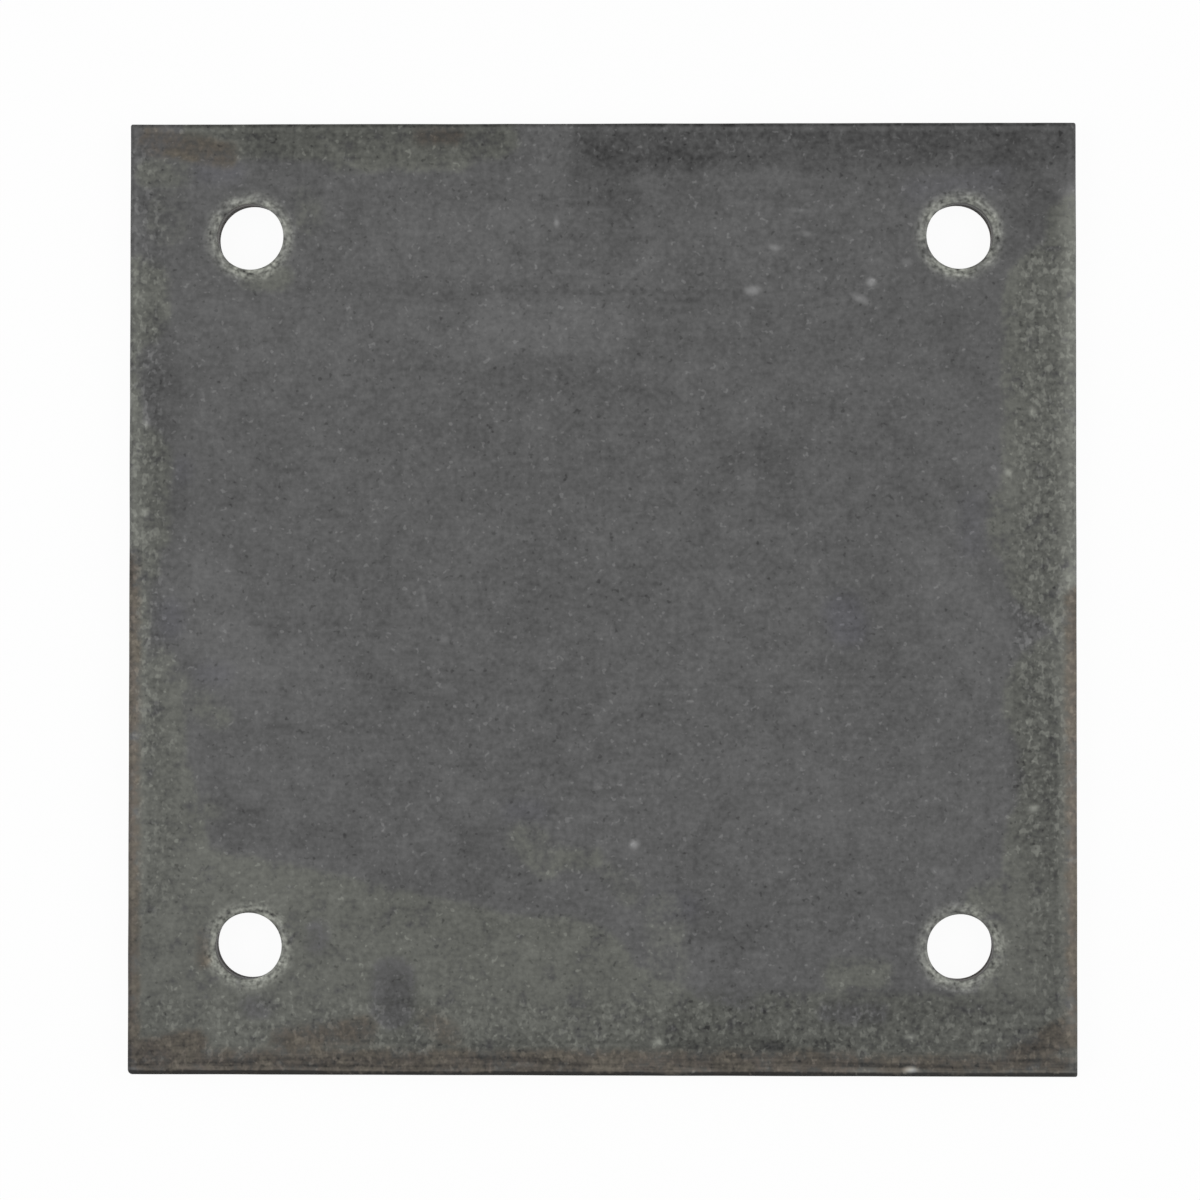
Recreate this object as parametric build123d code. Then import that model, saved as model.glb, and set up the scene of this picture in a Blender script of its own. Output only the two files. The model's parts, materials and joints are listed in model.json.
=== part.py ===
from build123d import *
import os

# Rectangular steel cover plate with four bolt holes.
#
# One flat piece of hot-rolled steel plate, sheared to size on all four sides and punched with a
# bolt hole near each corner, all from the same face. A shear blade and a punch leave the same kind
# of wall: the struck face is drawn down into a rollover, a bright upright land is smeared below
# it, and the rest breaks away and falls back into the steel towards the underside.
#
# Millimetres. +Z is up and out of the struck face, and +X and +Y run along the sides. The origin
# is on the underside, at the middle of the outline.

# Blank
PLATE_WIDTH = 200.0
PLATE_LENGTH = 201.0
PLATE_THICKNESS = 6.0

# Corners of the outline: three as sheared, and the front left one knocked round in handling
CORNER_RADIUS = 0.4
KNOCKED_CORNER_RADIUS = 0.9

# Bolt holes: how far each pair's centres lie in from the sides, and how far off the middle of the
# blank the whole pattern was punched
HOLE_DIAMETER = 14.0
HOLE_INSET_X = 25.0
HOLE_INSET_Y = 25.5
PATTERN_OFFSET_X = 0.5
PATTERN_OFFSET_Y = 1.6

# How deep the rollover and the land reach in a cut wall, as shares of the plate's thickness
SIDE_ROLLOVER_SHARE = 0.07
SIDE_LAND_SHARE = 0.37
HOLE_ROLLOVER_SHARE = 0.08
HOLE_LAND_SHARE = 0.48

# How far the rollover spreads over the struck face, and how far the break falls back
SIDE_ROLLOVER_WIDTH = 0.9
SIDE_FALLBACK = 0.3
HOLE_ROLLOVER_WIDTH = 1.6
HOLE_FALLBACK = 0.3

# How far the cutting tools run past the faces that they cut
TOOL_OVERRUN = 2.0


def cut_wall(rollover_width, rollover_share, land_share, fallback):
    """The line of a sheared or punched wall in XY: cut line at X = 0, steel to the left of it.

    Y is the height above the underside. The line runs from the struck face down to the underside.
    """
    rollover_depth = rollover_share * PLATE_THICKNESS
    land_top = PLATE_THICKNESS - rollover_depth
    land_bottom = land_top - land_share * PLATE_THICKNESS
    rollover = EllipticalCenterArc(
        (-rollover_width, land_top), rollover_width, rollover_depth, start_angle=90, arc_size=-90
    )
    land = Line((0, land_top), (0, land_bottom))
    fracture = Line((0, land_bottom), (-fallback, 0))
    return rollover + land + fracture


def sheared_section(across):
    """The plate's upright section between two opposite sheared sides."""
    side = cut_wall(SIDE_ROLLOVER_WIDTH, SIDE_ROLLOVER_SHARE, SIDE_LAND_SHARE, SIDE_FALLBACK)
    right = Pos(X=across / 2) * side
    left = mirror(right, about=Plane.YZ)
    struck_face = Line(left @ 0, right @ 0)
    underside = Line(left @ 1, right @ 1)
    return Plane.XZ * make_face(right + left + struck_face + underside)


def outline():
    """The plate's plan, with its four corners eased."""
    knocked_place = (-PLATE_WIDTH / 2, -PLATE_LENGTH / 2)
    plan = Rectangle(PLATE_WIDTH, PLATE_LENGTH)
    as_sheared = plan.vertices().sort_by_distance(knocked_place)[1:]
    plan = fillet(as_sheared, CORNER_RADIUS)
    knocked = plan.vertices().sort_by_distance(knocked_place)[0]
    return fillet(knocked, KNOCKED_CORNER_RADIUS)


def blank():
    """The sheared blank: where the strip cut to width, the strip cut to length and the plan meet."""
    cut_to_width = extrude(sheared_section(PLATE_WIDTH), amount=PLATE_LENGTH / 2, both=True)
    cut_to_length = extrude(sheared_section(PLATE_LENGTH), amount=PLATE_WIDTH / 2, both=True)
    return cut_to_width & Rot(Z=90) * cut_to_length & extrude(outline(), amount=PLATE_THICKNESS)


def punched_waste():
    """The steel that one punch takes away, turned about the hole's axis at X = Y = 0."""
    wall = cut_wall(HOLE_ROLLOVER_WIDTH, HOLE_ROLLOVER_SHARE, HOLE_LAND_SHARE, HOLE_FALLBACK)
    wall = Pos(X=HOLE_DIAMETER / 2) * mirror(wall, about=Plane.YZ)
    mouth = wall @ 0
    exit_edge = wall @ 1
    above = (0, PLATE_THICKNESS + TOOL_OVERRUN)
    below = (0, -TOOL_OVERRUN)
    core = Polyline(mouth, (mouth.X, above[1]), above, below, (exit_edge.X, below[1]), exit_edge)
    return revolve(Plane.XZ * make_face(wall + core), axis=Axis.Z)


def bolt_holes():
    """The waste of all four punched holes."""
    spacing_x = PLATE_WIDTH - 2 * HOLE_INSET_X
    spacing_y = PLATE_LENGTH - 2 * HOLE_INSET_Y
    pattern = Pos(PATTERN_OFFSET_X, PATTERN_OFFSET_Y) * GridLocations(spacing_x, spacing_y, 2, 2)
    return [place * punched_waste() for place in pattern]


cover_plate = blank() - bolt_holes()

os.makedirs("parts", exist_ok=True)
export_step(cover_plate, "parts/cover_plate.step")
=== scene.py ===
# %% [markdown]
# # A sheared and punched steel cover plate
#
# The real object is one piece of hot-rolled steel plate, cut to size on a guillotine shear and
# punched four times for bolts. Nothing is fitted to it, so this lesson makes one mesh and spends
# its effort on two things that tell a real plate from a plain box: the section of its cut edges,
# and the skin of mill scale, oil film and rust on its faces.

# %% Load the frame
import json
import math

import bmesh
import bpy
import numpy as np
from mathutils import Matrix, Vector


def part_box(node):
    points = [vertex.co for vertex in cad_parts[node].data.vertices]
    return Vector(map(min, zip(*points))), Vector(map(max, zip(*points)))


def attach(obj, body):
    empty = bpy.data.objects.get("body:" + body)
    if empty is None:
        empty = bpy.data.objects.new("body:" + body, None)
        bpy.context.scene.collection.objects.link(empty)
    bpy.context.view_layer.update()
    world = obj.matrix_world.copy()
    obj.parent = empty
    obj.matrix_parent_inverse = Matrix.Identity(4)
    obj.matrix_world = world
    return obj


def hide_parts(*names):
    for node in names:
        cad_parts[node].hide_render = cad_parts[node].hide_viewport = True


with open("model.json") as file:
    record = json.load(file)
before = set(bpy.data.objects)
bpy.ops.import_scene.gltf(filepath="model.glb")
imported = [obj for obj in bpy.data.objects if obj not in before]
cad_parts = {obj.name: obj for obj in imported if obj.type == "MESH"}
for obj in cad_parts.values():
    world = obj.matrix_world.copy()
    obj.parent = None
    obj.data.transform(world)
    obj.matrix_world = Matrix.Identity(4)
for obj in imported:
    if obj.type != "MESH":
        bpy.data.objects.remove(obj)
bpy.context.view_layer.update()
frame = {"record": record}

# %% [markdown]
# ## Read the sizes, don't retype them
#
# The plate's outline and its bolt pattern are already fixed by the CAD model. Reading them from
# the frame keeps the mesh true to it, whatever size the plate is given later. Only what the frame
# doesn't say is written here: how a shear blade and a punch leave the walls that they cut.

# %% Sizes
MM = 0.001

plate_low, plate_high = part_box("cover_plate")
width, length, thickness = plate_high - plate_low
half_width = width / 2
half_length = length / 2

bolts = next(mount for mount in frame["record"]["mounts"] if mount["name"] == "bolt_holes")
hole_radius = bolts["dims"]["hole_r_mm"] * MM
half_pitch_x = bolts["dims"]["spacing_x_mm"] * MM / 2
half_pitch_y = bolts["dims"]["spacing_y_mm"] * MM / 2
pattern_x, pattern_y = bolts["pos_m"][:2]
hole_centres = [
    Vector((pattern_x + side_x * half_pitch_x, pattern_y + side_y * half_pitch_y, 0))
    for side_x in (-1, 1)
    for side_y in (-1, 1)
]
print("plate, mm:", [round(size / MM, 2) for size in (width, length, thickness)])
print("holes:", len(hole_centres), "of radius", hole_radius / MM, "mm")

# %% [markdown]
# ## The section of a cut edge
#
# A blade or a punch first pulls the face down into a soft rollover, then smears an upright, bright
# land, and then the steel snaps and the rest tears away and falls back a little. The function
# lists that wall from the top down, as pairs: how far out from the edge of the flat face, and how
# high above the underside. A blade and a punch differ only in the numbers.

# %% The wall's profile
ROLL_STEPS = 6
LAND_STEPS = 3
TEAR_STEPS = 4


def cut_wall(rollover_width, rollover_share, land_share, fallback):
    """Points down a cut wall: (distance out from the flat face's edge, height)."""
    rollover_depth = rollover_share * thickness
    land_top = thickness - rollover_depth
    land_bottom = land_top - land_share * thickness
    points = []
    for step in range(1, ROLL_STEPS + 1):
        turn = math.radians(90) * step / ROLL_STEPS
        drop = rollover_depth * (1 - math.cos(turn))
        points.append((rollover_width * math.sin(turn), thickness - drop))
    for step in range(1, LAND_STEPS + 1):
        points.append((rollover_width, land_top + (land_bottom - land_top) * step / LAND_STEPS))
    for step in range(1, TEAR_STEPS + 1):
        torn = step / TEAR_STEPS
        points.append((rollover_width - fallback * torn, land_bottom * (1 - torn)))
    return points


SIDE_ROLLOVER = 0.9 * MM
SIDE_FALLBACK = 0.3 * MM
HOLE_ROLLOVER = 1.6 * MM
HOLE_FALLBACK = 0.3 * MM
SIDE_LAND_SHARE = 0.37
HOLE_LAND_SHARE = 0.48
SIDE_ROLLOVER_SHARE = 0.07
HOLE_ROLLOVER_SHARE = 0.08

side_wall = cut_wall(SIDE_ROLLOVER, SIDE_ROLLOVER_SHARE, SIDE_LAND_SHARE, SIDE_FALLBACK)
hole_wall = cut_wall(HOLE_ROLLOVER, HOLE_ROLLOVER_SHARE, HOLE_LAND_SHARE, HOLE_FALLBACK)
print("points down a side wall:", len(side_wall), "and down a hole's wall:", len(hole_wall))

# %% [markdown]
# ## Choosing by place
#
# By hand you would click an edge loop. A script chooses it by where it lies instead: this helper
# tests every point, edge or face of the open mesh, and leaves just the ones that pass selected for
# the next operator.

# %% Selection helpers
NEAR = 0.01 * MM


def middle(edge):
    """The middle point of an edge."""
    return (edge.verts[0].co + edge.verts[1].co) / 2


def choose(kind, passes):
    """Select what passes a test and nothing else, of the kind VERT, EDGE or FACE."""
    bpy.ops.mesh.select_mode(type=kind)
    bpy.ops.mesh.select_all(action="DESELECT")
    shape = bmesh.from_edit_mesh(bpy.context.object.data)
    elements = {"VERT": shape.verts, "EDGE": shape.edges, "FACE": shape.faces}[kind]
    chosen = [element for element in elements if passes(element)]
    for element in chosen:
        element.select_set(True)
    bmesh.update_edit_mesh(bpy.context.object.data)
    return len(chosen)


# %% [markdown]
# ## Start with the flat of the struck face
#
# A plate with round holes could be a box with a Boolean cut, but that leaves long slivers round
# every hole. Here the flat face is a plane, cut by straight lines into strips so that each hole
# gets a square window of its own. The windows are removed, and the strips are then divided into
# even cells. Even cells let the face be bent and dented later without creases.

# %% The sheet and its windows
CELL = 1.25 * MM
WINDOW_CELLS = 24
half_window = CELL * WINDOW_CELLS / 2
flat_x = half_width - SIDE_ROLLOVER
flat_y = half_length - SIDE_ROLLOVER

bpy.ops.object.select_all(action="DESELECT")
bpy.ops.mesh.primitive_plane_add(size=1, location=(0, 0, thickness))
plate = bpy.context.object
plate.name = "sheared_plate"
bpy.ops.object.transform_apply(location=True, rotation=True, scale=True)
bpy.ops.object.mode_set(mode="EDIT")
bpy.ops.transform.resize(value=(2 * flat_x, 2 * flat_y, 1), center_override=(0, 0, thickness))

lines_x = sorted({centre.x + side * half_window for centre in hole_centres for side in (-1, 1)})
lines_y = sorted({centre.y + side * half_window for centre in hole_centres for side in (-1, 1)})
for x in lines_x:
    bpy.ops.mesh.select_all(action="SELECT")
    bpy.ops.mesh.bisect(plane_co=(x, 0, 0), plane_no=(1, 0, 0))
for y in lines_y:
    bpy.ops.mesh.select_all(action="SELECT")
    bpy.ops.mesh.bisect(plane_co=(0, y, 0), plane_no=(0, 1, 0))


def in_window(place, hole):
    """Whether a point lies in that hole's window, or on its rim."""
    return max(abs(place.x - hole.x), abs(place.y - hole.y)) < half_window + NEAR


def over_a_hole(face):
    """Whether a face lies in any hole's window."""
    return any(in_window(face.calc_center_median(), hole) for hole in hole_centres)


windows = choose("FACE", over_a_hole)
bpy.ops.mesh.delete(type="FACE")
print("windows opened:", windows)

# %% [markdown]
# Selecting only the edges that run across a strip and subdividing them is the scripted twin of a
# loop cut. Each strip is divided in one go, into cells as near to the wished size as fits.

# %% Divide the strips into cells
def divide_strip(axis, start, end):
    """Cut the strip between two lines across an axis into even cells."""
    middle_of_strip = (start + end) / 2

    def runs_across(edge):
        span = edge.verts[1].co - edge.verts[0].co
        along = abs(abs(span[axis]) - (end - start)) < NEAR
        return along and abs(middle(edge)[axis] - middle_of_strip) < NEAR

    choose("EDGE", runs_across)
    cells = round((end - start) / CELL)
    bpy.ops.mesh.subdivide(number_cuts=cells - 1)


for axis, flat, lines in ((0, flat_x, lines_x), (1, flat_y, lines_y)):
    stops = [-flat, *lines, flat]
    for start, end in zip(stops, stops[1:]):
        divide_strip(axis, start, end)
print("faces in the sheet:", len(bmesh.from_edit_mesh(plate.data).faces))

# %% [markdown]
# ## Round mouths in square windows
#
# Each window's rim is extruded in place, and the To Sphere operator then pushes the new rim's
# points out to one distance from the hole's centre. That makes a circle whose points still match
# the window's one for one, which bridging to a separate circle doesn't promise. The last step cuts
# the band between square and circle into rings, so that it bends as smoothly as the rest.

# %% Turn every window into a round mouth
mouth_radius = hole_radius + HOLE_ROLLOVER
RING_CUTS = 5


def is_open(edge):
    """Whether the edge has a face on one side only."""
    return len(edge.link_faces) < 2


def is_radial(edge, hole):
    """Whether an edge runs from that hole's mouth straight to its window's rim."""
    near, far = sorted((vertex.co - hole).xy.length for vertex in edge.verts)
    return abs(near - mouth_radius) < NEAR and far > half_window - NEAR


for hole in hole_centres:
    choose("EDGE", lambda edge: is_open(edge) and in_window(middle(edge), hole))
    bpy.ops.mesh.extrude_edges_move()
    centre = (hole.x, hole.y, thickness)
    bpy.ops.transform.tosphere(value=1, center_override=centre)
    shape = bmesh.from_edit_mesh(plate.data)
    round_radius = max((vertex.co - hole).xy.length for vertex in shape.verts if vertex.select)
    shrink = mouth_radius / round_radius
    bpy.ops.transform.resize(value=(shrink, shrink, 1), center_override=centre)
    choose("EDGE", lambda edge: is_radial(edge, hole))
    bpy.ops.mesh.subdivide(number_cuts=RING_CUTS)
print("faces with round mouths:", len(bmesh.from_edit_mesh(plate.data).faces))

# %% [markdown]
# ## A second sheet for the underside
#
# The underside has the same holes and outline, only a little narrower all round where the tear
# falls back. So it starts as a copy of the top sheet, dropped by the thickness and flipped. Its
# rims are then drawn to the size that the foot of each wall will have.

# %% Copy, flip and fit the underside
def on_outline(edge, half_x, half_y):
    """Whether an edge lies on the rectangle of those half sizes."""
    place = middle(edge)
    return abs(abs(place.x) - half_x) < NEAR or abs(abs(place.y) - half_y) < NEAR


def round_hole(edge, hole):
    """Whether an open edge belongs to that hole's rim."""
    return is_open(edge) and (middle(edge) - hole).xy.length < mouth_radius + NEAR


bpy.ops.mesh.select_all(action="SELECT")
bpy.ops.mesh.duplicate_move(TRANSFORM_OT_translate={"value": (0, 0, -thickness)})
bpy.ops.mesh.flip_normals()

foot_x = half_width - SIDE_FALLBACK
foot_y = half_length - SIDE_FALLBACK
exit_radius = hole_radius + HOLE_FALLBACK


def is_low(edge):
    """Whether an edge lies on the underside."""
    return middle(edge).z < NEAR


choose("EDGE", lambda edge: is_low(edge) and is_open(edge) and on_outline(edge, flat_x, flat_y))
bpy.ops.transform.resize(value=(foot_x / flat_x, foot_y / flat_y, 1), center_override=(0, 0, 0))
for hole in hole_centres:
    choose("EDGE", lambda edge: is_low(edge) and round_hole(edge, hole))
    shrink = exit_radius / mouth_radius
    bpy.ops.transform.resize(value=(shrink, shrink, 1), center_override=(hole.x, hole.y, 0))
print("underside rims fitted to", round(foot_x / MM, 2), "mm and", round(exit_radius / MM, 2), "mm")

# %% [markdown]
# ## Draw the walls down
#
# Extrude, move down, resize: repeated for each point of the profile, those three operators carry
# an edge loop down the wall. The outline grows as it turns over the rollover and the holes
# shrink, so one helper serves both, with a sign for the direction.

# %% Walls of the sides and the holes
def draw_down(wall, start_x, start_y, direction, centre):
    """Carry the selected edge loop down a cut wall, outwards (1) or inwards (-1)."""
    last_out, last_height = 0, thickness
    for out, height in wall:
        bpy.ops.mesh.extrude_edges_move(TRANSFORM_OT_translate={"value": (0, 0, height - last_height)})
        grow_x = (start_x + direction * out) / (start_x + direction * last_out)
        grow_y = (start_y + direction * out) / (start_y + direction * last_out)
        bpy.ops.transform.resize(value=(grow_x, grow_y, 1), center_override=centre)
        last_out, last_height = out, height


choose("EDGE", lambda edge: not is_low(edge) and is_open(edge) and on_outline(edge, flat_x, flat_y))
draw_down(side_wall, flat_x, flat_y, 1, (0, 0, 0))
for hole in hole_centres:
    choose("EDGE", lambda edge: not is_low(edge) and round_hole(edge, hole))
    draw_down(hole_wall, mouth_radius, mouth_radius, -1, (hole.x, hole.y, 0))

bpy.ops.mesh.select_all(action="SELECT")
bpy.ops.mesh.remove_doubles(threshold=NEAR)
bpy.ops.mesh.normals_make_consistent(inside=False)
print("edges left open:", choose("EDGE", is_open))

# %% [markdown]
# ## Ease the corners
#
# The two shear cuts leave each corner crisp, and one has been knocked round in handling. The
# upright edges at a corner are the ones that lie equally far from both outlines, and a bevel of
# the right width rounds them all the way from the flat face to the underside.

# %% Bevel the four corners
CORNER_RADIUS = 0.4 * MM
KNOCKED_CORNER_RADIUS = 0.9 * MM
CORNER_SEGMENTS = 4


def at_corner(point, side_x, side_y):
    """Whether a vertex lies on the mitre of that corner."""
    in_from_side = half_width - side_x * point.x
    in_from_end = half_length - side_y * point.y
    return abs(in_from_side - in_from_end) < NEAR and in_from_side < SIDE_ROLLOVER + NEAR


for side_x in (-1, 1):
    for side_y in (-1, 1):
        choose("EDGE", lambda edge: all(at_corner(vertex.co, side_x, side_y) for vertex in edge.verts))
        knocked = side_x < 0 and side_y < 0
        radius = KNOCKED_CORNER_RADIUS if knocked else CORNER_RADIUS
        bpy.ops.mesh.bevel(affect="EDGES", offset=radius, segments=CORNER_SEGMENTS)

bpy.ops.object.mode_set(mode="OBJECT")
print("plate mesh:", len(plate.data.vertices), "vertices,", len(plate.data.polygons), "faces")

# %% [markdown]
# ## Nothing sheared is quite straight
#
# Perfect flatness and perfect edges are what give a model away. A Displace modifier with a soft
# clouds texture bends the struck face by a few hundredths of a millimetre and lets each sheared
# side wander. Each one moves only the points of its own vertex group, and only into the steel, so
# the plate stays within its true size.

# %% Waviness and wandering sides
def displace(name, passes, wave, depth, direction):
    """Push the chosen points by up to that depth (its sign gives the way), in waves of that length."""
    bpy.ops.object.mode_set(mode="EDIT")
    points = choose("VERT", lambda point: passes(point.co))
    bpy.ops.object.vertex_group_add()
    bpy.ops.object.vertex_group_assign()
    bpy.ops.object.mode_set(mode="OBJECT")
    group = plate.vertex_groups.active
    group.name = name
    clouds = bpy.data.textures.new(name, "CLOUDS")
    clouds.noise_scale = wave
    clouds.noise_depth = 1
    bpy.ops.object.modifier_add(type="DISPLACE")
    push = plate.modifiers[-1]
    push.texture = clouds
    push.texture_coords = "LOCAL"
    push.vertex_group = group.name
    push.direction = direction
    push.strength = abs(depth)
    push.mid_level = 1 if depth < 0 else 0
    bpy.ops.object.modifier_apply(modifier=push.name)
    print("displaced", points, "points of the", name, "by up to", abs(depth) / MM, "mm")


FACE_WAVE = 28 * MM
FACE_DEPTH = 0.06 * MM
SIDE_WAVE = 20 * MM
SIDE_DEPTH = 0.10 * MM

displace("struck face", lambda place: place.z > thickness - NEAR, FACE_WAVE, -FACE_DEPTH, "Z")
displace("right side", lambda place: place.x > flat_x + NEAR, SIDE_WAVE, -SIDE_DEPTH, "X")
displace("left side", lambda place: place.x < -flat_x - NEAR, SIDE_WAVE, SIDE_DEPTH, "X")
displace("back side", lambda place: place.y > flat_y + NEAR, SIDE_WAVE, -SIDE_DEPTH, "Y")
displace("front side", lambda place: place.y < -flat_y - NEAR, SIDE_WAVE, SIDE_DEPTH, "Y")

# %% [markdown]
# ## The torn break
#
# Below the land the steel has snapped, and that zone is rough. The same modifier, now along the
# normals and with a texture about as fine as the mesh, moves its points into the steel. The
# lowest rim stays, because the underside lies flat.

# %% Roughen the break
BREAK_WAVE = 1.6 * MM
BREAK_DEPTH = 0.3 * MM
CREASE = math.radians(40)

land_foot = side_wall[ROLL_STEPS + LAND_STEPS - 1][1]


def on_break(place):
    """Whether a point lies in the torn zone of a side or a hole."""
    from_hole = min((place - hole).xy.length for hole in hole_centres)
    outside_face = abs(place.x) > foot_x - NEAR or abs(place.y) > foot_y - NEAR
    return NEAR < place.z < land_foot - NEAR and (outside_face or from_hole < exit_radius + NEAR)


displace("break", on_break, BREAK_WAVE, -BREAK_DEPTH, "NORMAL")

bpy.ops.object.select_all(action="DESELECT")
plate.select_set(True)
bpy.context.view_layer.objects.active = plate
bpy.ops.object.shade_smooth_by_angle(angle=CREASE)
print("the break starts", round(land_foot / MM, 2), "mm above the underside")

# %% [markdown]
# ## Paint where the marks are
#
# The oil film, the rust and the darker clouds have places of their own, which no noise texture
# can guess. By hand you would paint them as vertex colours with a soft brush. The helper below is
# that brush: each stroke runs from one point to another, in millimetres from the plate's middle,
# with a reach to either side and a strength. It leaves its mask on the mesh as an attribute, and
# the material later breaks up the mask's soft rim with noise.

# %% A soft brush
BRUSH_SOFTNESS = 4.0


def dab(points, start, end, reach, strength):
    """How strongly one stroke covers each point: full inside its reach, and smoothly down to none."""
    start = np.array(start, dtype=float)
    along = np.array(end, dtype=float) - start
    share = np.clip((points - start) @ along / (along @ along), 0, 1)
    distance = np.linalg.norm(points - start - share[:, None] * along, axis=1)
    cover = np.clip((reach + BRUSH_SOFTNESS / 2 - distance) / BRUSH_SOFTNESS, 0, 1)
    return strength * cover * cover * (3 - 2 * cover)


def paint(name, strokes, layered=False):
    """Paint strokes into an attribute: layered ones add up, the others take the strongest."""
    places = np.empty(len(plate.data.vertices) * 3)
    plate.data.vertices.foreach_get("co", places)
    points = places.reshape(-1, 3)[:, :2] / MM
    dabs = [dab(points, *stroke) for stroke in strokes]
    mask = np.sum(dabs, axis=0) if layered else np.max(dabs, axis=0)
    attribute = plate.data.attributes.new(name, "FLOAT", "POINT")
    attribute.data.foreach_set("value", mask.astype(np.float32))
    print("painted", name, "with", len(strokes), "strokes, on", np.count_nonzero(mask), "points")


# %% [markdown]
# ## Strokes of the oil film
#
# A thin film of old oil and dust gives the scale an olive cast. It has crept in from the sides:
# narrow at the top left, a broad band on the right, and deep along the bottom, with a few islands.

# %% Paint the oil film
film_right = [
    ((98, 62), (98, 8), 13.6, 1.0),
    ((98, 72), (99, 80), 5.0, 1.0),
    ((86, 19), (86, 13), 4.8, 0.9),
    ((99, 2), (99, -8), 4.5, 0.8),
    ((98, -21), (98, -23), 13.3, 1.0),
    ((98, -20), (98, -50), 10.4, 1.0),
    ((98, -52), (98, -95), 13.5, 1.0),
    ((92, -73), (92, -95), 13.0, 1.0),
    ((80, -64), (92, -61), 4.0, 0.9),
]
film_bottom = [
    ((20, -95), (88, -95), 12.0, 1.0),
    ((50, -79), (58, -79), 3.5, 0.9),
    ((13, -66), (14, -80), 5.0, 0.42),
    ((-28, -85), (-9, -85), 18.0, 1.0),
    ((-9, -88), (9, -88), 10.0, 1.0),
    ((8, -94), (24, -94), 12.0, 1.0),
    ((-86, -72), (-30, -84), 19.5, 1.0),
    ((-88, -90), (-20, -90), 12.0, 1.0),
]
film_left = [
    ((-99, -24), (-99, -50), 11.0, 1.0),
    ((-96, -40), (-92, -58), 10.0, 1.0),
    ((-99, 29), (-99, 15), 8.0, 0.9),
    ((-100, 14), (-100, 7), 6.5, 0.9),
    ((-100, 6), (-100, -20), 4.5, 0.9),
    ((-94, -13), (-90, -18), 3.5, 0.6),
    ((-100, 57), (-100, 34), 2.6, 0.9),
    ((-98, 66), (-98, 60), 6.5, 0.9),
    ((-96, 90), (-90, 90), 3.0, 0.8),
    ((-92, 82), (-92, 79), 5.0, 0.4),
]
film_top = [
    ((-85, 97.5), (-22, 97.5), 4.5, 0.9),
    ((-56, 96), (-31, 96), 5.5, 0.9),
    ((-74, 68), (-68, 68), 2.8, 0.8),
    ((-63, 84), (-62, 80), 3.5, 0.5),
]
film_islands = [
    ((-16, -51), (-12, -55), 4.5, 0.55),
    ((-8, -55), (-2, -55), 2.5, 0.8),
    ((2, -58), (6, -62), 3.0, 0.5),
    ((-85, -22), (-81, -25), 3.5, 0.55),
    ((-83, -44), (-82, -45), 2.5, 0.55),
]
paint("oil_film", film_right + film_bottom + film_left + film_top + film_islands)

# %% [markdown]
# ## Strokes of the rust
#
# Rust starts where the scale was broken: along the sheared rims, strongest at the bottom, and in
# three of the corners.

# %% Paint the rust
rust_strokes = [
    ((-96, 97), (-80, 94), 3.0, 0.75),
    ((-38, 98), (-31, 98), 2.0, 0.9),
    ((-100, 8), (-100, -95), 2.4, 1.0),
    ((-97, -96), (-86, -94), 3.0, 1.0),
    ((-98, -98), (98, -98), 2.2, 0.8),
    ((-95, -98), (52, -98), 3.0, 0.9),
    ((-67, -93), (-50, -91), 3.0, 0.75),
    ((-36, -89), (-32, -92), 3.0, 0.55),
    ((98, -91), (87, -97), 3.5, 0.8),
    ((100, 0), (100, -86), 2.5, 1.0),
    ((-84, -71), (-84, -77), 1.6, 0.7),
]
paint("rust", rust_strokes)

# %% [markdown]
# ## Strokes of wear
#
# Plates slide against each other in the stack, and that scratches the skin along the sides. The
# right side has it worst, in short strokes that run along the side.

# %% Paint the wear
wear_strokes = [
    ((98, 66), (98, -48), 11.0, 0.9),
    ((98, -50), (98, -95), 9.0, 0.5),
    ((-99, 90), (-99, 60), 6.0, 0.7),
    ((-97, 58), (-97, -30), 4.0, 0.9),
    ((-97, -30), (-97, -60), 8.0, 0.5),
    ((-95, -92), (95, -92), 7.5, 0.6),
    ((-95, 96), (95, 96), 4.0, 0.2),
]
paint("wear", wear_strokes)

# %% [markdown]
# ## Strokes for bare spots and temper colours
#
# In a few places the film has been rubbed off again, and in others the scale keeps a breath of
# the blue that steel takes on as it cools.

# %% Paint the bare and the blue spots
bare_strokes = [
    ((-44, -80), (-44, -86), 4.5, 1.0),
    ((-60, -70), (-60, -73), 2.5, 0.8),
    ((-74, -86), (-71, -86), 2.5, 0.7),
    ((21, -81), (30, -84), 3.0, 0.7),
    ((48, -87), (58, -87), 2.5, 0.8),
]
temper_strokes = [
    ((51, -3), (52, -6), 4.0, 0.75),
    ((-89, 28), (-89, 26), 2.0, 0.5),
    ((-91, -3), (-91, -6), 2.5, 0.65),
    ((-84, -16), (-80, -16), 2.0, 0.5),
    ((-18, -45), (-14, -45), 2.5, 0.5),
    ((12, -64), (18, -65), 2.5, 0.6),
    ((78, 20), (78, 11), 2.5, 0.4),
    ((-84, 90), (-78, 90), 2.0, 0.6),
    ((66, 86), (84, 89), 2.5, 0.4),
]
paint("bare", bare_strokes)
paint("temper", temper_strokes)
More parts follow.
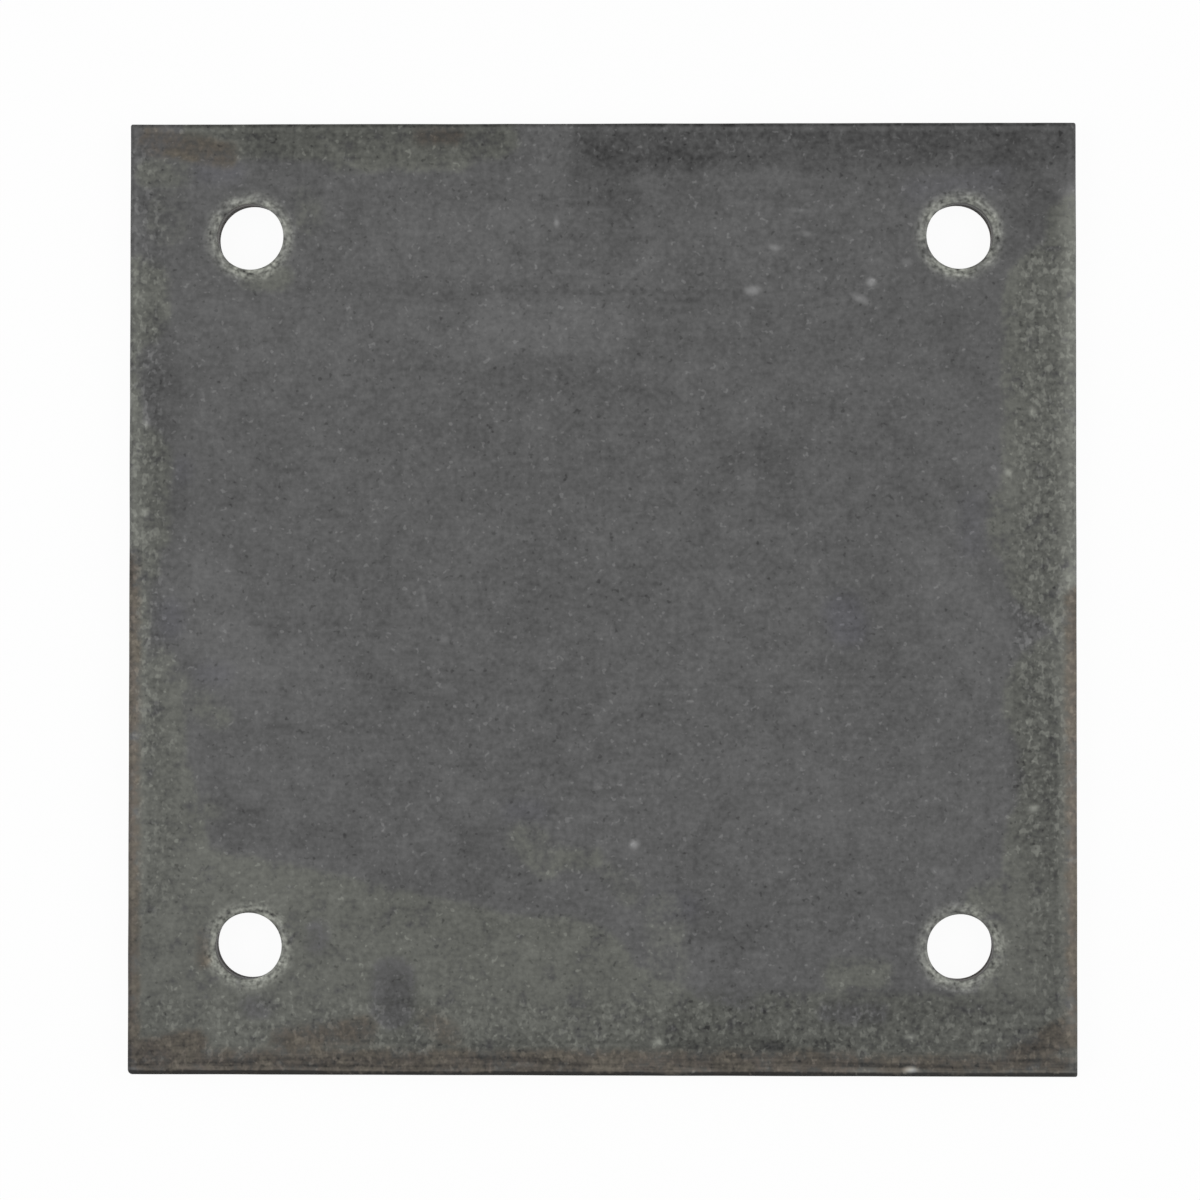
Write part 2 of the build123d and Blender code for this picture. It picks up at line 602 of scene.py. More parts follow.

# %% [markdown]
# ## Darker and lighter clouds
#
# The scale itself isn't one grey. These strokes say by what share of its brightness a place is
# darker (below zero) or lighter (above), and where two overlap they add up. Most of them are the
# scale's own uneven tone, and the strip along the top is darker. The light bands along the left
# and right rims are partly painted light from the side lamps and partly lighter rust, and the thin
# dark line along the front rim is painted shade.

# %% Paint the shade
# dark clouds of the scale; the thin stroke along the front rim at y = -98.3 is painted shade
dark_clouds_and_rim_shade = [
    ((0, 97), (98, 97), 6.0, -0.27),
    ((12, 94), (23, 94), 3.0, -0.10),
    ((70, 96), (97, 95), 5.0, -0.10),
    ((88, 88), (92, 82), 5.0, -0.20),
    ((-1, 88), (1, 76), 7.0, -0.22),
    ((4, 92), (18, 92), 3.0, -0.10),
    ((-72, 96), (-63, 94), 3.5, -0.15),
    ((-93, 55), (-93, 36), 3.5, -0.13),
    ((-93, 28), (-92, 16), 5.0, -0.12),
    ((-88, 99), (-22, 99), 1.5, -0.15),
    ((-99, -98.3), (-5, -98.3), 0.5, -0.45),
    ((96, 20), (96, -90), 7.0, -0.05),
    ((-85, 97), (-22, 97), 4.5, -0.18),
    ((31, 32), (38, 27), 4.0, -0.13),
    ((49, 10), (55, 3), 5.0, -0.10),
    ((59, -10), (60, -17), 3.5, -0.12),
    ((-24, 45), (10, 45), 3.0, -0.08),
    ((-51, 15), (-51, 2), 4.0, -0.06),
    ((-28, -53), (-27, -59), 4.0, -0.15),
    ((-79, -45), (-75, -48), 4.0, -0.16),
    ((21, -68), (30, -71), 4.5, -0.15),
    ((-43, -82), (-42, -87), 4.0, -0.29),
    ((-10, 98.5), (98, 98.5), 0.6, -0.14),
    ((48, -87), (57, -87), 2.5, -0.08),
    ((22, -91), (85, -91), 9.0, -0.21),
    ((-50, -94), (52, -94), 0.5, -0.45),
    ((92, -20), (92, -56), 6.0, -0.14),
    ((-95, 85), (-95, 62), 3.0, -0.08),
    ((-97, -94), (-88, -91), 3.0, -0.07),
    ((-96, -57), (-96, -90), 1.5, -0.12),
    ((95.5, -14), (95.5, -92), 1.4, -0.12),
    ((95.5, -58), (95.5, -92), 1.4, -0.08),
    ((-31, 36), (-5, 34), 6.0, -0.04),
]
# light clouds of the scale; the strokes along the left and right rims are partly painted light
light_clouds_and_rim_light = [
    ((-22, 57), (0, 57), 6.0, 0.26),
    ((-43, 76), (4, 74), 8.0, 0.13),
    ((-84, 2), (-76, -16), 8.0, 0.15),
    ((-72, -38), (-58, -42), 6.0, 0.10),
    ((70, 6), (80, -10), 8.0, 0.12),
    ((25, -40), (60, -40), 10.0, 0.04),
    ((-75, -58), (-67, -61), 4.0, 0.12),
    ((-86, -53), (-83, -57), 3.5, 0.10),
    ((8, -71), (17, -82), 6.0, 0.08),
    ((-99, 80), (-99, -85), 3.0, 0.18),
    ((99, 85), (99, 5), 2.2, 0.54),
    ((99, 4), (99, -90), 2.4, 0.46),
    ((99, 4), (99, -63), 2.4, 0.14),
    ((-99, 0), (-99, -60), 2.0, 0.34),
    ((-90, -95.5), (-60, -95.5), 1.0, 0.07),
    ((0, -96.4), (52, -96.4), 0.5, 0.45),
    ((52, -97.5), (84, -97.5), 2.0, 0.15),
    ((60, -91.5), (90, -91.5), 0.5, 0.15),
    ((-99, -60), (-99, -95), 2.0, 0.05),
    ((-95, -62), (-62, -62), 9.0, 0.05),
    ((99, 2), (99, -60), 3.5, 0.10),
    ((98.8, -14), (98.8, -92), 0.8, 0.36),
    ((-98.9, -14), (-98.9, -52), 0.8, 0.20),
    ((-96, 97), (-80, 94), 3.0, 0.16),
    ((-90, 57), (-30, 57), 6.0, 0.06),
    ((68, 45), (82, 28), 7.0, 0.06),
    ((22, 79), (36, 70), 6.0, 0.06),
    ((-80, -82), (-5, -85), 14.0, 0.04),
]
paint("shade", dark_clouds_and_rim_shade + light_clouds_and_rim_light, layered=True)

# %% [markdown]
# ## Helpers for material nodes
#
# Each helper adds one node, feeds it, and hands back its output, so that a material reads like a
# sum. A plain number is written into the socket and another node's output is linked to it.

# %% Node helpers
def start_material(name):
    """Make a material with an empty node tree."""
    material = bpy.data.materials.new(name)
    material.use_nodes = True
    material.node_tree.nodes.clear()
    return material


def feed(tree, socket, value):
    """Link another node's output to a socket, or write a plain value into it."""
    if isinstance(value, bpy.types.NodeSocket):
        tree.links.new(value, socket)
    else:
        socket.default_value = value


def maths(tree, operation, *values):
    """A Math node."""
    node = tree.nodes.new("ShaderNodeMath")
    node.operation = operation
    for socket, value in zip(node.inputs, values):
        feed(tree, socket, value)
    return node.outputs["Value"]


def vector_maths(tree, operation, *values):
    """A Vector Math node, which gives a number for a length and a vector for anything else."""
    node = tree.nodes.new("ShaderNodeVectorMath")
    node.operation = operation
    for socket, value in zip(node.inputs, values):
        feed(tree, socket, value)
    return node.outputs["Value" if operation == "LENGTH" else "Vector"]


def scaled(tree, vector, scale):
    """A vector or a colour times a number."""
    node = tree.nodes.new("ShaderNodeVectorMath")
    node.operation = "SCALE"
    feed(tree, node.inputs[0], vector)
    feed(tree, node.inputs["Scale"], scale)
    return node.outputs["Vector"]


def soft_step(tree, value, low, high):
    """Rise smoothly from 0 at the low value to 1 at the high one (or fall, if low is above high)."""
    node = tree.nodes.new("ShaderNodeMapRange")
    node.interpolation_type = "SMOOTHSTEP"
    feed(tree, node.inputs["Value"], value)
    feed(tree, node.inputs["From Min"], low)
    feed(tree, node.inputs["From Max"], high)
    return node.outputs["Result"]


NOISE_MIDDLE = 0.5


def noise(tree, place, size, detail=1.0):
    """Noise about zero, with bumps of about that size in millimetres."""
    node = tree.nodes.new("ShaderNodeTexNoise")
    feed(tree, node.inputs["Vector"], place)
    node.inputs["Scale"].default_value = 1 / size
    node.inputs["Detail"].default_value = detail
    return maths(tree, "SUBTRACT", node.outputs["Fac"], NOISE_MIDDLE)


def blend(tree, share, first, second):
    """Mix two colours, or two heights."""
    node = tree.nodes.new("ShaderNodeMix")
    node.data_type = "RGBA"
    in_use = [socket for socket in node.inputs if socket.enabled]
    for socket, value in zip(in_use, (share, first, second)):
        feed(tree, socket, value)
    return next(socket for socket in node.outputs if socket.enabled)


def painted(tree, name):
    """The mask that was painted on the mesh under that name."""
    node = tree.nodes.new("ShaderNodeAttribute")
    node.attribute_name = name
    return node.outputs["Fac"]


def millimetres(tree):
    """The place on the object, in millimetres."""
    place = tree.nodes.new("ShaderNodeTexCoord").outputs["Object"]
    return scaled(tree, place, 1 / MM)


def steel_surface(tree, colour, roughness, height, relief):
    """The shader itself, with bumps of that relief in metres."""
    bump = tree.nodes.new("ShaderNodeBump")
    bump.inputs["Distance"].default_value = relief
    feed(tree, bump.inputs["Height"], height)
    shader = tree.nodes.new("ShaderNodeBsdfPrincipled")
    feed(tree, shader.inputs["Base Color"], colour)
    feed(tree, shader.inputs["Roughness"], roughness)
    feed(tree, shader.inputs["Normal"], bump.outputs["Normal"])
    output = tree.nodes.new("ShaderNodeOutputMaterial")
    tree.links.new(shader.outputs["BSDF"], output.inputs["Surface"])
    return shader


# %% [markdown]
# ## The struck face: where the film and the rust lie
#
# Mill scale is the blue-grey oxide skin that hot rolling leaves. This material starts with the
# painted masks and multiplies them by noise before a soft step, so that a mask's smooth rim turns
# into the ragged, blotchy rim of a real stain, while bare places stay bare. Sizes of noise are in
# millimetres.

# %% Ragged masks
GRAIN_SIZE = 1.2
CLOUD_SIZE = 3.8
BROAD_SIZE = 14.0
COARSE_TEAR = 2.0
CRISP_TEAR = 1.2
STAIN_STARTS = 0.1
STAIN_IS_FULL = 0.9

struck_face = start_material("oiled_mill_scale")
tree = struck_face.node_tree
place = millimetres(tree)

small = noise(tree, place, GRAIN_SIZE)
medium = noise(tree, place, CLOUD_SIZE)
broad = noise(tree, place, BROAD_SIZE)


def add_layers(tree, total, *layers):
    """A running total plus each layer times its strength."""
    for layer, strength in layers:
        total = maths(tree, "MULTIPLY_ADD", layer, strength, total)
    return total


def ragged(tree, mask, coarse, crisp):
    """A painted mask with its rim broken up by a coarse and a crisp noise."""
    torn = add_layers(tree, 1.0, (coarse, COARSE_TEAR), (crisp, CRISP_TEAR))
    return soft_step(tree, maths(tree, "MULTIPLY", mask, torn), STAIN_STARTS, STAIN_IS_FULL)


film = ragged(tree, painted(tree, "oil_film"), medium, small)
rubbed_off = ragged(tree, painted(tree, "bare"), medium, small)
film = maths(tree, "MULTIPLY", film, maths(tree, "SUBTRACT", 1.0, rubbed_off))
rust = ragged(tree, painted(tree, "rust"), medium, small)
print("masks of the struck face are ready, nodes so far:", len(tree.nodes))

# %% [markdown]
# ## Grain and clouds
#
# The eye reads a surface's scale from its grain, so the brightness adds up noises from half a
# millimetre to a centimetre and more. They start from 1, the brightness of plain scale. Where the
# skin is worn or rusty, the small grain gains in strength.

# %% Grain and clouds of the scale
FINE_GRAIN = 0.24
FINE_SIZE = 0.5
SMALL_GRAIN = 0.90
MEDIUM_CLOUDS = 0.64
BROAD_CLOUDS = 0.31
WORN_GRAIN = 0.6
RUSTY_GRAIN = 0.8

wear = painted(tree, "wear")
gain = add_layers(tree, 1.0, (wear, WORN_GRAIN), (rust, RUSTY_GRAIN))
fine = noise(tree, place, FINE_SIZE)
grain = add_layers(tree, 0.0, (small, SMALL_GRAIN), (fine, FINE_GRAIN))
clouds = (medium, MEDIUM_CLOUDS), (broad, BROAD_CLOUDS)
brightness = add_layers(tree, 1.0, (grain, gain), *clouds)
print("grain and clouds are in, nodes so far:", len(tree.nodes))

# %% [markdown]
# ## Worn specks
#
# Where the skin is worn, light specks of bare steel show through it. They are the peaks of a
# noise that is stretched a little along the side, and the painted wear raises that noise, so that
# more of its peaks come through there.

# %% Specks of bare steel
WORN_SHADE = -0.14
STRAY_SPECK_LIGHT = 0.20
WORN_SPECK_LIGHT = 0.45
SPECK_SIZE = 1.1
SPECK_STRETCH = (1, 0.75, 1)
SPECK_STARTS = 0.12
SPECK_IS_FULL = 0.25
WORN_SPECKS = 0.10

along_the_side = vector_maths(tree, "MULTIPLY", place, SPECK_STRETCH)
peaks = add_layers(tree, noise(tree, along_the_side, SPECK_SIZE), (wear, WORN_SPECKS))
specks = soft_step(tree, peaks, SPECK_STARTS, SPECK_IS_FULL)
speck_light = add_layers(tree, STRAY_SPECK_LIGHT, (wear, WORN_SPECK_LIGHT))
brightness = add_layers(tree, brightness, (specks, speck_light), (wear, WORN_SHADE))
print("worn specks are in, nodes so far:", len(tree.nodes))

# %% [markdown]
# ## Dots
#
# Single dots lie all over the face, light where a grain of scale is gone and dark where dirt sits
# in a pit. They are the rarest peaks and hollows of one more noise: a high threshold keeps them
# few, and a long soft step makes most of them faint and a few of them strong.

# %% Light and dark dots
DOT_SIZE = 1.3
DOT_STARTS = 0.17
DOT_IS_FULL = 0.27
LIGHT_DOTS = 0.62
DARK_DOTS = -0.38

dots = noise(tree, place, DOT_SIZE)
light_dots = soft_step(tree, dots, DOT_STARTS, DOT_IS_FULL)
dark_dots = soft_step(tree, dots, -DOT_STARTS, -DOT_IS_FULL)
brightness = add_layers(tree, brightness, (light_dots, LIGHT_DOTS), (dark_dots, DARK_DOTS))
print("dots are in, nodes so far:", len(tree.nodes))

# %% [markdown]
# ## Rolling lines and painted clouds
#
# Hot rolling draws faint lines along the strip, which are noise squeezed across its length. On
# rust they are stronger. The painted clouds, with the painted light and shade at the rims, are
# simply added.

# %% Lines along the strip, and the shade
ROLLING_LINES = 0.15
RUST_STREAKS = 0.5
LINE_SIZE = 0.9
LINE_STRETCH = (0.08, 1, 1)

along_the_strip = vector_maths(tree, "MULTIPLY", place, LINE_STRETCH)
drawn_lines = noise(tree, along_the_strip, LINE_SIZE)
line_depth = add_layers(tree, ROLLING_LINES, (rust, RUST_STREAKS))
brightness = add_layers(tree, brightness, (drawn_lines, line_depth))
brightness = maths(tree, "ADD", brightness, painted(tree, "shade"))
print("lines and shade are in, nodes so far:", len(tree.nodes))

# %% [markdown]
# ## Single marks
#
# A few specks, scratches and lines in the photograph are finer than the painted mesh. Each one
# is an oval of its own: a Mapping node carries the oval's place, size and turn, and the distance
# in that stretched space gives a soft spot or, when it is long and thin, a line.

# %% Specks, scratches and lines
MARK_DEPTH = 1000


def mark(tree, place, centre, half_size, turn):
    """A soft oval, 1 in its middle and 0 at its rim, and the same all through the plate."""
    node = tree.nodes.new("ShaderNodeMapping")
    node.vector_type = "TEXTURE"
    feed(tree, node.inputs["Vector"], place)
    node.inputs["Location"].default_value = (*centre, 0)
    node.inputs["Rotation"].default_value = (0, 0, math.radians(turn))
    node.inputs["Scale"].default_value = (*half_size, MARK_DEPTH)
    distance = vector_maths(tree, "LENGTH", node.outputs["Vector"])
    return soft_step(tree, distance, 1.0, 0.0)


# centre, half size, turn in degrees, and the share of brightness that the mark adds
single_marks = [
    ((31.8, 65.0), (2.6, 1.5), 0, 1.50),
    ((36.4, 74.1), (2.0, 1.3), -10, 1.00),
    ((41.0, 82.0), (5.5, 0.9), -3, 0.50),
    ((54.8, 63.1), (3.4, 1.4), -25, 1.10),
    ((56.8, 66.7), (1.6, 1.6), 0, 1.50),
    ((64.3, 70.8), (1.8, 1.7), 0, 0.80),
    ((43.2, 77.0), (1.7, 1.1), 0, 0.70),
    ((-9.6, 79.3), (1.0, 1.6), 0, 1.30),
    ((-33.3, -8.5), (1.6, 1.6), 0, 0.45),
    ((-37.5, 0.0), (0.9, 4.5), 12, 0.45),
    ((-0.5, -39.5), (1.3, 1.3), 0, 0.70),
    ((6.9, -51.8), (1.6, 1.6), 0, 1.55),
    ((70.2, -57.0), (1.5, 1.5), 0, 0.28),
    ((85.5, 26.6), (1.4, 1.3), 0, 1.30),
    ((90.7, 39.4), (1.2, 1.7), 0, 1.10),
    ((90.8, -44.1), (1.7, 1.2), 0, 1.30),
    ((11.9, -93.4), (2.2, 1.4), 0, 1.00),
    ((64.9, -92.1), (2.0, 1.1), 0, 1.10),
    ((64.9, -98.9), (2.3, 1.0), 0, 3.60),
    ((-96.6, 18.1), (1.6, 1.5), 0, 1.10),
    ((-96.3, 37.1), (1.8, 1.5), 0, 0.90),
    ((-55.0, 93.5), (1.1, 10.5), 49, 0.30),
    ((9.0, 64.8), (52.0, 1.0), 0, -0.16),
    ((25.0, -18.8), (50.0, 0.9), 0, -0.12),
]
for centre, half_size, turn, strength in single_marks:
    spot = mark(tree, place, centre, half_size, turn)
    brightness = add_layers(tree, brightness, (spot, strength))
print("single marks:", len(single_marks))

# %% [markdown]
# ## One ring for four holes
#
# The punch cracked the scale in a narrow ring round each mouth, and that ring holds oil. One
# distance serves all four holes: taking the absolute value of the place folds the plate twice, so
# that the four holes fall on one. Broad noise leaves gaps in the ring.

# %% Rings round the mouths
IN_PLAN = (1, 1, 0)
RING_STARTS = 10.6
RING_IS_FULL = 7.6
RING_GAPS = 2.0
RING_FILM = 0.8

from_pattern = vector_maths(tree, "SUBTRACT", place, (pattern_x / MM, pattern_y / MM, 0))
folded = vector_maths(tree, "ABSOLUTE", from_pattern)
folded = vector_maths(tree, "SUBTRACT", folded, (half_pitch_x / MM, half_pitch_y / MM, 0))
folded = vector_maths(tree, "MULTIPLY", folded, IN_PLAN)
from_hole = vector_maths(tree, "LENGTH", folded)
ring = soft_step(tree, from_hole, RING_STARTS, RING_IS_FULL)
ring = maths(tree, "MULTIPLY", ring, add_layers(tree, 1.0, (medium, RING_GAPS)))
film = maths(tree, "MAXIMUM", film, maths(tree, "MULTIPLY", ring, RING_FILM))
print("the rings fade out", RING_STARTS, "mm from the holes' centres")

# %% [markdown]
# ## Highlight and flakes in the rings
#
# Each ring is lighter as a whole, which is a painted highlight on the rollover round the mouth, and
# light flakes of bare steel show in it, some of them ripples that run round the hole. A noise makes
# ripples if its place changes fast with the distance from the hole and slowly along the face, so
# that distance takes the place of the height.

# %% Painted highlight, ripples and flakes
# painted highlight: the whole ring round each mouth is made lighter
RING_HIGHLIGHT = 0.85
RING_RIPPLES = 3.5
RIPPLE_SIZE = 0.9
RIPPLE_STRETCH = (0.4, 0.4, 0)
RING_FLAKES = 4.0
FLAKE_SIZE = 0.85

outwards = tree.nodes.new("ShaderNodeCombineXYZ")
feed(tree, outwards.inputs["Z"], from_hole)
round_the_hole = vector_maths(tree, "MULTIPLY", place, RIPPLE_STRETCH)
round_the_hole = vector_maths(tree, "ADD", round_the_hole, outwards.outputs["Vector"])
ripples = noise(tree, round_the_hole, RIPPLE_SIZE)
flakes = noise(tree, place, FLAKE_SIZE)
highlight_and_flakes = add_layers(tree, RING_HIGHLIGHT, (ripples, RING_RIPPLES), (flakes, RING_FLAKES))
brightness = add_layers(tree, brightness, (ring, highlight_and_flakes))
print("flakes are in, nodes so far:", len(tree.nodes))

# %% [markdown]
# ## The worn line along the rims
#
# The smaller of the distances to the nearest side and the nearest end says how far a place lies
# from the outline. A light worn line runs all round at one such distance, just inside the rim
# that the blade drew down: two soft steps, one rising and one falling, leave that band.

# %% Distance to the rim, and the worn line
WORN_LINE = 0.16
WORN_LINE_STARTS = 0.7
WORN_LINE_IS_FULL = 1.2
WORN_LINE_FADES = 1.5
WORN_LINE_ENDS = 2.2

half_plan = (half_width / MM, half_length / MM, 0)
to_rim = vector_maths(tree, "ABSOLUTE", place)
to_rim = vector_maths(tree, "SUBTRACT", half_plan, to_rim)
rims = tree.nodes.new("ShaderNodeSeparateXYZ")
feed(tree, rims.inputs["Vector"], to_rim)
to_rim = maths(tree, "MINIMUM", rims.outputs["X"], rims.outputs["Y"])
outer_rim = soft_step(tree, to_rim, WORN_LINE_STARTS, WORN_LINE_IS_FULL)
inner_rim = soft_step(tree, to_rim, WORN_LINE_ENDS, WORN_LINE_FADES)
worn_line = maths(tree, "MULTIPLY", outer_rim, inner_rim)
brightness = add_layers(tree, brightness, (worn_line, WORN_LINE))
print("the worn line fades out", WORN_LINE_ENDS, "mm from the rim")

# %% [markdown]
# ## Painted shade along the rims
#
# The drawn-down rim outside the worn line is darkened with painted shade, where the rollover turns
# away from the light. On the right side a part of that painted shade is given back.

# %% Painted shade on the rims
# painted shade darkens the rims; on the right side a part of it is given back
RIM_SHADE = -0.28
RIM_SHADE_STARTS = 1.0
RIM_SHADE_IS_FULL = 0.5
RIGHT_RIM_SHADE_GIVEN_BACK = 0.22
RIGHT_RIM_WIDTH = 2.0

rim_shade = soft_step(tree, to_rim, RIM_SHADE_STARTS, RIM_SHADE_IS_FULL)
sides = tree.nodes.new("ShaderNodeSeparateXYZ")
feed(tree, sides.inputs["Vector"], place)
right_rim = maths(tree, "GREATER_THAN", sides.outputs["X"], half_width / MM - RIGHT_RIM_WIDTH)
right_rim = maths(tree, "MULTIPLY", right_rim, rim_shade)
brightness = add_layers(tree, brightness, (rim_shade, RIM_SHADE), (right_rim, RIGHT_RIM_SHADE_GIVEN_BACK))
print("painted rim shade lies within", RIM_SHADE_STARTS, "mm of the rim")

# %% [markdown]
# ## The front rim
#
# At the front the rim gets the deepest painted shade of the four. The plate has been dragged along
# there, so the rolling lines are dark streaks in a strip beside the rim, and the worn line is
# lighter. The brightness is then kept above a floor, so that no sum of dark layers turns the steel
# quite black.

# %% Painted shade and streaks at the front
# the front rim gets the deepest painted shade
FRONT_RIM_SHADE = -0.62
FRONT_SHADE_STARTS = 1.2
FRONT_SHADE_IS_FULL = 0.8
FRONT_WORN_LINE = 0.16
FRONT_STREAKS = 1.3
STREAKS_START = 6.0
STREAKS_ARE_FULL = 2.0
DARKEST = 0.15

from_front = maths(tree, "ADD", sides.outputs["Y"], half_length / MM)
front_shade = soft_step(tree, from_front, FRONT_SHADE_STARTS, FRONT_SHADE_IS_FULL)
front_strip = soft_step(tree, from_front, STREAKS_START, STREAKS_ARE_FULL)
front_streaks = maths(tree, "MULTIPLY", front_strip, drawn_lines)
front_line = maths(tree, "MULTIPLY", front_strip, worn_line)
front_layers = (front_streaks, FRONT_STREAKS), (front_line, FRONT_WORN_LINE)
brightness = add_layers(tree, brightness, (front_shade, FRONT_RIM_SHADE), *front_layers)
brightness = maths(tree, "MAXIMUM", brightness, DARKEST)
print("the rims are in, nodes so far:", len(tree.nodes))

# %% [markdown]
# ## Colours of the struck face
#
# The colours are laid on in the order in which they came: grey scale, its faint blue spots, the
# olive film over them, rust through all. They are then scaled by the one brightness, so that the
# grain runs on underneath. The film is a little glossier than the scale, and rust is dull.

# %% Colour, gloss and relief
SCALE_GREY = (0.097, 0.097, 0.097, 1)
TEMPER_BLUE = (0.092, 0.0915, 0.103, 1)
FILM_OLIVE = (0.1135, 0.1165, 0.1025, 1)
RUST_BROWN = (0.080, 0.0685, 0.0590, 1)
RUST_OCHRE = (0.0880, 0.0775, 0.0620, 1)
RUST_PATCHES = 0.2
FACE_ROUGHNESS = 0.58
FILM_GLOSS = -0.06
RUST_DULLNESS = 0.25
UNEVEN_GLOSS = 0.30
FACE_RELIEF = 0.05 * MM

colour = blend(tree, painted(tree, "temper"), SCALE_GREY, TEMPER_BLUE)
colour = blend(tree, film, colour, FILM_OLIVE)
patches = soft_step(tree, medium, -RUST_PATCHES, RUST_PATCHES)
colour = blend(tree, rust, colour, blend(tree, patches, RUST_BROWN, RUST_OCHRE))
colour = scaled(tree, colour, brightness)

roughness = add_layers(tree, FACE_ROUGHNESS, (film, FILM_GLOSS), (rust, RUST_DULLNESS))
roughness = add_layers(tree, roughness, (small, UNEVEN_GLOSS))
steel_surface(tree, colour, roughness, small, FACE_RELIEF)
print("nodes in the struck face's material:", len(tree.nodes))

# %% [markdown]
# ## The underside
#
# The face that the plate lies on has the same scale without the film. Sliding on benches and
# floors has scuffed it in short strokes along the strip. They are the peaks of a noise that is
# drawn out that way, and a broad noise gathers them in some areas.

# %% Scuffed scale
UNDER_GRAIN_SIZE = 2.0
UNDER_CLOUD_SIZE = 7.0
UNDER_BROAD_SIZE = 30.0
SCUFF_SIZE = 1.2
SCUFF_STRETCH = (0.05, 0.9, 1)
SCUFF_STARTS = 0.10
SCUFF_IS_FULL = 0.22
SCUFFED_AREA_STARTS = -0.02
SCUFFED_AREA_IS_FULL = 0.12

underside = start_material("scuffed_mill_scale")
tree = underside.node_tree
place = millimetres(tree)
small = noise(tree, place, UNDER_GRAIN_SIZE)
medium = noise(tree, place, UNDER_CLOUD_SIZE)
broad = noise(tree, place, UNDER_BROAD_SIZE)
along_the_strip = vector_maths(tree, "MULTIPLY", place, SCUFF_STRETCH)
scuffs = soft_step(tree, noise(tree, along_the_strip, SCUFF_SIZE), SCUFF_STARTS, SCUFF_IS_FULL)
scuffed_area = soft_step(tree, broad, SCUFFED_AREA_STARTS, SCUFFED_AREA_IS_FULL)
scuffs = maths(tree, "MULTIPLY", scuffs, scuffed_area)
print("scuffs are in, nodes so far:", len(tree.nodes))

# %% [markdown]
# ## Rust and colours underneath
#
# The damp has freckled the underside with rust, and the rims have the same rust as the struck
# face. Scuffs are lighter and glossier than the scale.

# %% Freckles and colours
FRECKLE_SIZE = 3.5
FRECKLE_DETAIL = 2.0
FRECKLE_STARTS = 0.14
FRECKLE_IS_FULL = 0.22
UNDER_GRAIN = 0.35
UNDER_CLOUDS = 0.40
SCUFF_LIGHT = 0.60
SCUFF_GLOSS = -0.15

damp = noise(tree, place, FRECKLE_SIZE, FRECKLE_DETAIL)
freckles = soft_step(tree, damp, FRECKLE_STARTS, FRECKLE_IS_FULL)
edge_rust = ragged(tree, painted(tree, "rust"), medium, small)
freckles = maths(tree, "MAXIMUM", freckles, edge_rust)

clouds = (medium, UNDER_CLOUDS), (broad, UNDER_CLOUDS)
brightness = add_layers(tree, 1.0, (small, UNDER_GRAIN), *clouds, (scuffs, SCUFF_LIGHT))
colour = scaled(tree, blend(tree, freckles, SCALE_GREY, RUST_BROWN), brightness)
roughness = add_layers(tree, FACE_ROUGHNESS, (scuffs, SCUFF_GLOSS), (freckles, RUST_DULLNESS))
steel_surface(tree, colour, roughness, small, FACE_RELIEF)
print("nodes in the underside's material:", len(tree.nodes))

# %% [markdown]
# ## The cut walls
#
# The blade has drawn the land out in fine upright streaks, and the break is crumbly. Rust has
# bloomed on this bare steel in patches all round, and a little more where the face above has it.

# %% Streaks, crumbs and rust
STREAK_SIZE = 0.35
STREAK_STRETCH = (1, 1, 0.06)
STREAK_DETAIL = 2.0
CRUMB_SIZE = 0.7
CRUMB_DETAIL = 3.0
WANDER_SIZE = 4.0
BLOOM_SIZE = 9.0
BLOOM_DETAIL = 3.0
BLOOM_STARTS = -0.04
BLOOM_IS_FULL = 0.12
BLOOM_STRENGTH = 0.45
WALL_RUST = 0.30

cut_wall_steel = start_material("sheared_steel")
tree = cut_wall_steel.node_tree
place = millimetres(tree)
upright = vector_maths(tree, "MULTIPLY", place, STREAK_STRETCH)
streaks = noise(tree, upright, STREAK_SIZE, STREAK_DETAIL)
crumbs = noise(tree, place, CRUMB_SIZE, CRUMB_DETAIL)
wander = noise(tree, place, WANDER_SIZE)
bloom = soft_step(tree, noise(tree, place, BLOOM_SIZE, BLOOM_DETAIL), BLOOM_STARTS, BLOOM_IS_FULL)
edge_rust = ragged(tree, painted(tree, "rust"), wander, crumbs)
rusty = add_layers(tree, 0.0, (bloom, BLOOM_STRENGTH), (edge_rust, WALL_RUST))
print("streaks, crumbs and rust are in, nodes so far:", len(tree.nodes))

# %% [markdown]
# ## Land above, break below
#
# On a cut wall the height tells the story: the burnished land above, the dull break below. Both
# colours hold painted shade as well, which keeps the walls dark. The border between them wanders,
# so the height is shifted by noise before the soft step that mixes the two.

# %% Land and break
# both steels are darkened with painted shade, for the shaded walls inside the holes
LAND_STEEL_AND_SHADE = (0.060, 0.058, 0.054)
BREAK_STEEL_AND_SHADE = (0.036, 0.032, 0.028)
WALL_RUST_BROWN = (0.080, 0.062, 0.047, 1)
BORDER_WANDERS = 1.6
BORDER_TEETH = 0.8
BORDER_SOFTNESS = 0.15
LAND_STREAKS = 1.2
BREAK_CRUMBS = 1.6
BREAK_ROUGHNESS = 0.85
LAND_GLOSS = -0.30
LAND_METAL = 0.3
STREAK_RELIEF = 0.2
BREAK_RELIEF = 0.15 * MM

levels = tree.nodes.new("ShaderNodeSeparateXYZ")
feed(tree, levels.inputs["Vector"], place)
level = add_layers(tree, levels.outputs["Z"], (wander, BORDER_WANDERS), (streaks, BORDER_TEETH))
border = land_foot / MM
land = soft_step(tree, level, border - BORDER_SOFTNESS, border + BORDER_SOFTNESS)

